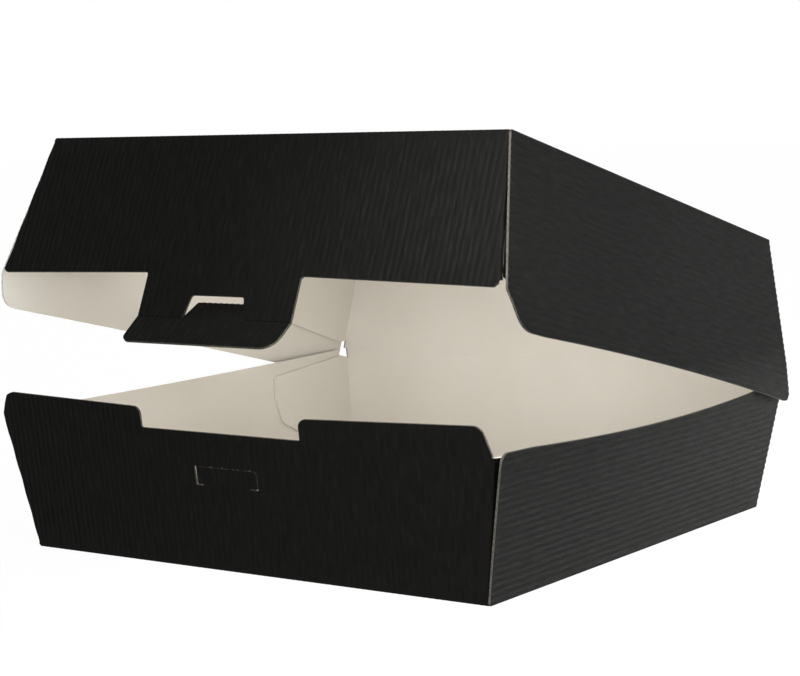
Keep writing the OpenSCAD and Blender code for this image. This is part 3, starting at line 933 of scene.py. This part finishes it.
def cut_card():
    """The cut edge: inked outer liner, flutes' hollows darkened as painted shade, pale inner liner."""
    material, nodes, links, shader = new_material("card_edge")
    uv = nodes.new("ShaderNodeUVMap")
    uv.uv_map = "blank"
    split = nodes.new("ShaderNodeSeparateXYZ")
    links.new(uv.outputs["UV"], split.inputs["Vector"])
    layers = nodes.new("ShaderNodeMath")
    layers.operation = "MULTIPLY"
    layers.inputs[1].default_value = MAP_MM / BOARD
    links.new(split.outputs["Y"], layers.inputs[0])
    # Painted shade: the dark band between the liners stands in for the shade in the flutes' hollows
    layer = ramp(nodes, links, layers.outputs["Value"], [
        (0.16, (0.012, 0.011, 0.0095)), (0.28, (0.13, 0.117, 0.094)), (0.55, (0.055, 0.050, 0.041)),
        (0.76, (0.100, 0.094, 0.078))])
    waves = nodes.new("ShaderNodeMath")
    waves.operation = "MULTIPLY"
    waves.inputs[1].default_value = MAP_MM * 2 * math.pi / PITCH
    links.new(split.outputs["X"], waves.inputs[0])
    wave = nodes.new("ShaderNodeMath")
    wave.operation = "COSINE"
    links.new(waves.outputs["Value"], wave.inputs[0])
    # Painted shade: the edge darkens in waves along it, where the flutes' hollows lie
    flute_hollow_shade = ramp(nodes, links, wave.outputs["Value"], [(0.2, grey(1.0)), (0.9, grey(0.7))])
    place = nodes.new("ShaderNodeTexCoord")
    fibres = nodes.new("ShaderNodeTexNoise")
    fibres.inputs["Scale"].default_value = 900
    fibres.inputs["Detail"].default_value = 4
    links.new(place.outputs["Object"], fibres.inputs["Vector"])
    fray = ramp(nodes, links, fibres.outputs["Fac"], [(0.32, grey(0.6)), (0.62, grey(1.0))])
    tone = multiply(nodes, links, multiply(nodes, links, layer, flute_hollow_shade), fray)
    links.new(tone, shader.inputs["Base Color"])
    shader.inputs["Roughness"].default_value = 0.85
    shader.inputs["Specular IOR Level"].default_value = 0.2
    return material


# Camera, fitted to the folds' corners in the photograph

IMAGE_W, IMAGE_H = 800, 676
FOCAL_PX, CENTRE_PX = 2048.0, (396.55, 323.11)
YAW, PITCH_DOWN, ROLL = -0.603, 0.0908, 0.018
CAMERA_MM = (332.80, -488.35, 113.41)


def camera():
    data = bpy.data.cameras.new("camera")
    data.sensor_fit = "HORIZONTAL"
    data.sensor_width = 36
    data.lens = FOCAL_PX / IMAGE_W * data.sensor_width
    data.shift_x = (IMAGE_W / 2 - CENTRE_PX[0]) / IMAGE_W
    data.shift_y = (CENTRE_PX[1] - IMAGE_H / 2) / IMAGE_W
    data.clip_start, data.clip_end = 0.01, 20
    ahead = Vector((math.sin(YAW) * math.cos(PITCH_DOWN), math.cos(YAW) * math.cos(PITCH_DOWN),
                    -math.sin(PITCH_DOWN)))
    level = Vector((math.cos(YAW), -math.sin(YAW), 0))
    down = ahead.cross(level)
    right = level * math.cos(ROLL) + down * math.sin(ROLL)
    below = down * math.cos(ROLL) - level * math.sin(ROLL)
    matrix = Matrix((right, -below, -ahead)).transposed().to_4x4()
    matrix.translation = Vector(CAMERA_MM) * MM
    eye = bpy.data.objects.new("camera", data)
    eye.matrix_world = matrix
    bpy.context.scene.collection.objects.link(eye)
    bpy.context.scene.camera = eye


def looked_at(nodes, links):
    """1 for camera, glossy and transmission rays, which are to see the background as white, else 0."""
    path = nodes.new("ShaderNodeLightPath")
    last = path.outputs["Is Camera Ray"]
    for name in ("Is Glossy Ray", "Is Transmission Ray"):
        most = nodes.new("ShaderNodeMath")
        most.operation = "MAXIMUM"
        links.new(last, most.inputs[0])
        links.new(path.outputs[name], most.inputs[1])
        last = most.outputs["Value"]
    return last


def world(ambient):
    """A white surround, dimmer as a light than it is to look at."""
    sky = bpy.data.worlds.new("studio")
    sky.use_nodes = True
    nodes, links = sky.node_tree.nodes, sky.node_tree.links
    back = nodes["Background"]
    back.inputs["Color"].default_value = (1, 1, 1, 1)
    spread = nodes.new("ShaderNodeMapRange")
    spread.inputs["To Min"].default_value = ambient
    spread.inputs["To Max"].default_value = 1
    links.new(looked_at(nodes, links), spread.inputs["Value"])
    links.new(spread.outputs["Result"], back.inputs["Strength"])
    bpy.context.scene.world = sky


def floor():
    """A plain white floor that keeps the box's shadow."""
    mesh = bpy.data.meshes.new("floor")
    size = 40
    corners = [(-size, -size, 0), (size, -size, 0), (size, size, 0), (-size, size, 0)]
    mesh.from_pydata(corners, [], [(0, 1, 2, 3)])
    ground = bpy.data.objects.new("floor", mesh)
    bpy.context.scene.collection.objects.link(ground)
    material, nodes, links, shader = new_material("floor")
    shader.inputs["Base Color"].default_value = (0.9, 0.9, 0.9, 1)
    shader.inputs["Roughness"].default_value = 0.9
    shader.inputs["Specular IOR Level"].default_value = 0.1
    glow = nodes.new("ShaderNodeEmission")
    glow.inputs["Strength"].default_value = 1.06
    share = nodes.new("ShaderNodeMath")
    share.operation = "MULTIPLY"
    share.inputs[1].default_value = 0.9
    links.new(looked_at(nodes, links), share.inputs[0])
    mix = nodes.new("ShaderNodeMixShader")
    links.new(share.outputs["Value"], mix.inputs["Fac"])
    links.new(shader.outputs["BSDF"], mix.inputs[1])
    links.new(glow.outputs["Emission"], mix.inputs[2])
    links.new(mix.outputs["Shader"], nodes["Material Output"].inputs["Surface"])
    mesh.materials.append(material)


def light(name, kind, place, aim, power):
    """A lamp that shines from place towards aim, in metres and watts."""
    data = bpy.data.lights.new(name, kind)
    data.energy = power
    holder = bpy.data.objects.new(name, data)
    holder.visible_camera = False
    holder.location = Vector(place)
    holder.rotation_euler = (Vector(aim) - Vector(place)).to_track_quat("-Z", "Y").to_euler()
    bpy.context.scene.collection.objects.link(holder)
    return data


def lamp(name, place, aim, size, power):
    """A soft square lamp."""
    light(name, "AREA", place, aim, power).size = size


def spot(name, place, aim, cone, power):
    """A small spot with a soft edge, its cone in degrees."""
    data = light(name, "SPOT", place, aim, power)
    data.spot_size = math.radians(cone)
    data.spot_blend = 1
    data.shadow_soft_size = 0.03


def dress():
    """The card pieces: the tray, lid and tab each on its body, and the crease strips."""
    skins = [outside_card(), inside_card(), cut_card()]
    base = tray().build("tray_card", Matrix.Identity(4), skins)
    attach(base, "base")
    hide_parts("base_tray")
    rest = hung()
    rest.translation = rest.translation * MM
    top = lid().build("lid_card", rest, skins)
    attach(top, "lid")
    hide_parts("lid")
    tab = lock_tab().build("lock_tab_card", rest, skins)
    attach(tab, "lock_tab")
    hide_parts("lock_tab")
    creases(skins)


dress()
camera()
floor()
world(0.4)
lamp("key", (0.79, -0.33, 0.19), (0, 0, 0.06), 0.4, 2.8)
lamp("front", (0.3, -1.4, 0.10), (0, 0, 0.06), 0.8, 6.8)
lamp("bounce", (0.32, 0.22, 0.05), (0.32, 0.22, 0), 0.25, 12)
spot("sheen", (0.1025, -0.1755, 0.172), (0.09, -0.085, 0.095), 84, 2)
lamp("inside", (0, 0, 0.076), (0, 0, 0), 0.11, 0.0125)
lamp("lid_inside", (0, -0.02, 0.055), (0, 0.03, 0.115), 0.1, 0.036)
bpy.context.scene.view_settings.view_transform = "Standard"
